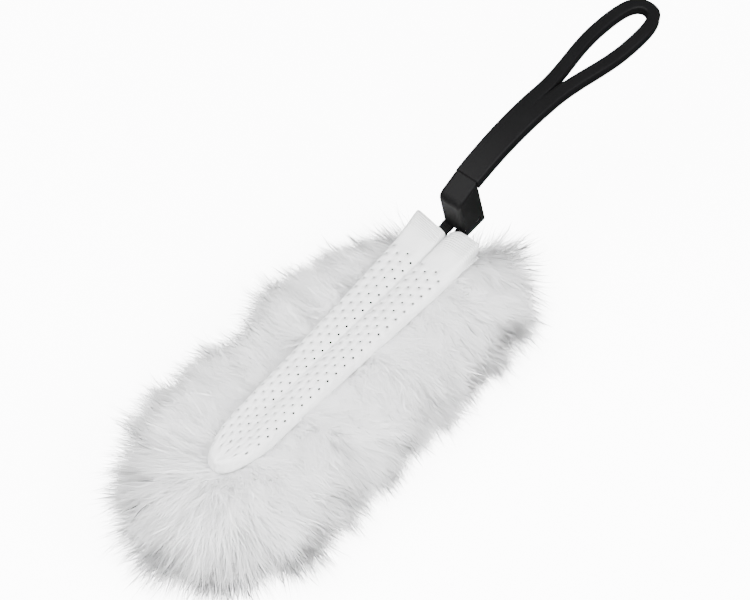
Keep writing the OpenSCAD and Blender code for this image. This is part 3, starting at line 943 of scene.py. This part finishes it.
def fibre_locks(core, fibre, slices=10, triangles=172000):
    """Locks of fibre all over the core, grown slice by slice along the bundle."""
    locks = [
        lock_of_fibres("lock a", 11, 0.05, 0.7), lock_of_fibres("lock b", 12, 0.09, 0.2),
        lock_of_fibres("lock c", 13, 0.14, 0.0), lock_of_fibres("lock d", 14, 0.07, 0.5),
        lock_of_fibres("lock e", 15, 0.10, 0.6)]
    per_lock = sum(len(f.vertices) - 2 for f in locks[0].data.polygons)
    tree = growing_tree(locks, fibre)
    mesh = core.data
    points = mesh_points(core)
    normals = np.array([v.normal for v in mesh.vertices])
    flow, size = combed(points, normals)
    faces = [tuple(f.vertices) for f in mesh.polygons]
    centres = np.array([f.center for f in mesh.polygons])
    up = np.array([f.normal for f in mesh.polygons])
    areas = np.array([f.area for f in mesh.polygons])
    under_sleeve = np.abs(centres[:, 1]) < sleeve_half(mouth_x - centres[:, 0]) - 5 * MM
    under_sleeve &= up[:, 2] > 0.5
    under_sleeve &= (centres[:, 0] < mouth_x - 8 * MM) & (centres[:, 0] > sleeve_low.x + 5 * MM)
    weight = np.where(under_sleeve, 0.0, areas)
    order = np.argsort(centres[:, 0])
    total = np.cumsum(weight[order])
    for k in range(slices):
        mine = order[(total > total[-1] * k / slices) & (total <= total[-1] * (k + 1) / slices)]
        mine = [i for i in mine if weight[i] > 0]
        used = sorted({v for i in mine for v in faces[i]})
        index = {v: n for n, v in enumerate(used)}
        patch = [tuple(index[v] for v in faces[i]) for i in mine]
        made = new_object(f"fibre_locks_{k + 1:02d}", points[used], patch)
        for name, kind, values in (("flow", "FLOAT_VECTOR", flow[used]), ("size", "FLOAT", size[used])):
            layer = made.data.attributes.new(name, kind, "POINT")
            key = "vector" if kind == "FLOAT_VECTOR" else "value"
            layer.data.foreach_set(key, values.astype(np.float32).ravel())
        density = triangles / per_lock / sum(areas[mine])
        run_tree(made, tree, Density=density, Seed=k + 1)
        settle(made)
        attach(made, "refill")
    for lock in locks:
        bpy.data.objects.remove(lock)


def settle(made):
    """Keeps fibres above the table and below the sleeve, and shades each with its lock's ground."""
    points = mesh_points(made)
    z = points[:, 2]
    pressed = TABLE_GAP + (RESTING - TABLE_GAP) * np.exp((z - RESTING) / (RESTING - TABLE_GAP))
    points[:, 2] = np.where(z < RESTING, pressed, z)
    back = turned(points, -ASKEW)
    v = mouth_x - back[:, 0]
    half = sleeve_half(np.clip(v, 0, sleeve_length))
    inside = (v > -2 * MM) & (v < sleeve_length) & (np.abs(back[:, 1]) < half + 0.5 * MM)
    points[:, 2] = np.where(inside, np.minimum(points[:, 2], base_low.z + 0.5 * MM), points[:, 2])
    beside = np.clip(1 - (np.abs(back[:, 1]) - half) / (10 * MM), 0, 1)
    beside = beside * ((v > -2 * MM) & (v < sleeve_length + 9 * MM))
    roof = sleeve_high.z - 3.5 * MM + 8 * MM * (1 - beside)
    points[:, 2] = np.minimum(points[:, 2], roof)
    most_x, most_y = cad_box[0][0] - TIP_STRAY, cad_box[1][1] + SIDE_STRAY
    points[:, 0] = np.maximum(points[:, 0], most_x)
    points[:, 1] = np.clip(points[:, 1], -most_y, most_y)
    place_points(made, points)
    lie = np.zeros(len(points) * 3, np.float32)
    made.data.attributes["lie"].data.foreach_get("vector", lie)
    lie = lie.reshape(-1, 3)
    lie[:, 2] = np.maximum(lie[:, 2], -0.2) + 0.3
    made.data.normals_split_custom_set_from_vertices(lie / np.linalg.norm(lie, axis=1, keepdims=True))
    made.data.attributes.remove(made.data.attributes["lie"])


# ---------------------------------------------------------------- strips
def outline_reach(x, side, inset):
    """How far the bundle's outline, drawn in by an inset, lies from the middle at a place along it."""
    angles = np.linspace(0, math.pi, 400) * side
    px, py = bundle_outline(angles, inset)
    order = np.argsort(px)
    return float(np.interp(x, px[order], np.abs(py)[order], left=0, right=0))


def strip_sheet(name, node, z, inset, cloth, poke):
    """A sheet slit into strips from both long edges, lying between the fibres."""
    width, slit, spine = 9 * MM, 1 * MM, 6 * MM
    pitch = width + slit
    low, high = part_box(node)
    count = int((high.x - low.x) / pitch)
    rng = np.random.default_rng(len(name))
    verts, faces = [], []
    for k in range(count):
        x0 = low.x + k * pitch + slit / 2
        for side in (1, -1):
            mid = x0 + width / 2
            reach = outline_reach(mid, side, inset)
            if mid < bundle_mid.x - 0.66 * bundle_half.x:
                reach += poke
            if reach < spine + 5 * MM:
                continue
            steps = 10
            twist, curl = rng.uniform(-0.3, 0.3), rng.uniform(0.5, 2.5) * MM
            for i in range(steps + 1):
                s = i / steps
                for j in range(3):
                    u = (j / 2 - 0.5) * width
                    verts.append((mid + u, side * s * reach, z - curl * s**3 + u * twist * s * s
                                  + 0.5 * MM * math.sin(7 * s + k)))
            first = len(verts) - 3 * (steps + 1)
            for i in range(steps):
                for j in range(2):
                    a = first + 3 * i + j
                    quad = (a, a + 1, a + 4, a + 3)
                    faces.append(quad if side > 0 else quad[::-1])
    made = new_object(name, turned(verts), faces)
    keep_flat_as_uv(made, mesh_points(made) + [0.2, 0, 0])
    modifier(made, "SOLIDIFY", thickness=0.15 * MM, offset=0)
    made.data.materials.append(cloth)
    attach(made, "refill")
    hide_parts(node)


# ---------------------------------------------------------------- room
def shooting_table():
    """A pale round table top that curves up into a wall all round, lit evenly."""
    profile = [(0, 0), (0.4, 0), (0.8, 0), (1.6, 0), (3.2, 0), (5, 0),
               (6, 0.12), (6.8, 0.6), (7.2, 1.5), (7.3, 7)]
    around = 96
    verts = [(0, 0, 0)]
    for radius, height in profile[1:]:
        verts += [(radius * math.cos(a), radius * math.sin(a), height)
                  for a in np.arange(around) * 2 * math.pi / around]
    faces = [(0, 1 + a, 1 + (a + 1) % around) for a in range(around)]
    for k in range(len(profile) - 2):
        for a in range(around):
            b = (a + 1) % around
            p, q = 1 + k * around, 1 + (k + 1) * around
            faces.append((p + a, q + a, q + b, p + b))
    made = new_object("shooting_table", verts, faces)
    material, tree, shader = finish("matt white table", (0.9, 0.9, 0.9), 0.9)
    place = out(add(tree, "ShaderNodeTexCoord"), "Object")
    grain = add(tree, "ShaderNodeTexNoise", {"Vector": place, "Scale": 900.0, "Detail": 2.0})
    tree.links.new(ramp(tree, out(grain), (0.88, 0.88, 0.88), (0.92, 0.92, 0.92)),
                   shader.inputs["Base Color"])
    shader.inputs["Emission Color"].default_value = (1, 1, 1, 1)
    shader.inputs["Emission Strength"].default_value = 9.0
    made.data.materials.append(material)
    made.visible_diffuse = made.visible_glossy = made.visible_transmission = made.visible_shadow = False


def soft_box(name, place, aim, size, power):
    lamp = bpy.data.lights.new(name, "AREA")
    lamp.shape, lamp.size, lamp.size_y, lamp.energy = "RECTANGLE", size[0], size[1], power
    made = bpy.data.objects.new(name, lamp)
    made.location = place
    made.rotation_euler = (Vector(aim) - Vector(place)).to_track_quat("-Z", "Y").to_euler()
    bpy.context.scene.collection.objects.link(made)


def studio_light():
    world = bpy.data.worlds.new("soft room")
    bpy.context.scene.world = world
    world.use_nodes = True
    tree = world.node_tree
    way = add(tree, "ShaderNodeSeparateXYZ", {"Vector": out(add(tree, "ShaderNodeTexCoord"), "Generated")})
    glow = out(add(tree, "ShaderNodeMapRange", {
        "Value": out(way, "Z"), "From Min": -0.4, "From Max": 0.5, "To Min": 2.5, "To Max": 3.0}))
    tree.links.new(glow, tree.nodes["Background"].inputs["Strength"])
    middle = (0, 0, 0.04)
    soft_box("overhead box", (-0.45, 0.5, 1.7), middle, (1.6, 1.6), 82)
    soft_box("right box", (0.2, -1.5, 1.3), middle, (1.3, 1.3), 100)
    soft_box("tip box", (-1.6, -0.5, 0.9), middle, (1.3, 1.0), 40)


def camera():
    """A long lens, looking down on the tip end and the right side."""
    turn, tilt, distance = math.radians(-51.3), math.radians(55), 2.625
    left_of_foot, below_foot = 29.7, 33.5
    back = Vector((math.sin(turn) * math.cos(tilt), -math.cos(turn) * math.cos(tilt), math.sin(tilt)))
    right = Vector((math.cos(turn), math.sin(turn), 0))
    up = back.cross(right)
    aim = foot + Vector((0, 5 * MM, 0)) - right * left_of_foot * MM - up * below_foot * MM
    lens = bpy.data.cameras.new("long lens")
    lens.lens, lens.sensor_width, lens.clip_start, lens.clip_end = 300, 36, 0.05, 40
    made = bpy.data.objects.new("camera", lens)
    made.location = aim + back * distance
    made.rotation_euler = (-back).to_track_quat("-Z", "Y").to_euler()
    bpy.context.scene.collection.objects.link(made)
    bpy.context.scene.camera = made


# ---------------------------------------------------------------- making it
camera()
shooting_table()
studio_light()
plastic = satin_black_plastic()
looped_grip(plastic)
neck(plastic)
fork(plastic)
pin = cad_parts["hinge_pin"]
for k in range(len(pin.material_slots)):
    pin.material_slots[k].material = turned_steel()

core = core_body(felted_fibre())
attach(core, "refill")
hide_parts("fibre_layer_top", "fibre_layer_upper_middle", "fibre_layer_lower_middle",
            "fibre_layer_bottom")
fibre_locks(core, white_fibre())
nonwoven = white_nonwoven()
sleeve(nonwoven)
upper_inset, lower_inset, tip_poke = 19 * MM, 10 * MM, 3 * MM
strip_sheet("upper_strips", "strip_sheet_upper", upper_strips_z - 3 * MM, upper_inset, nonwoven, 0)
strip_sheet("lower_strips", "strip_sheet_lower", lower_strips_z, lower_inset, nonwoven, tip_poke)
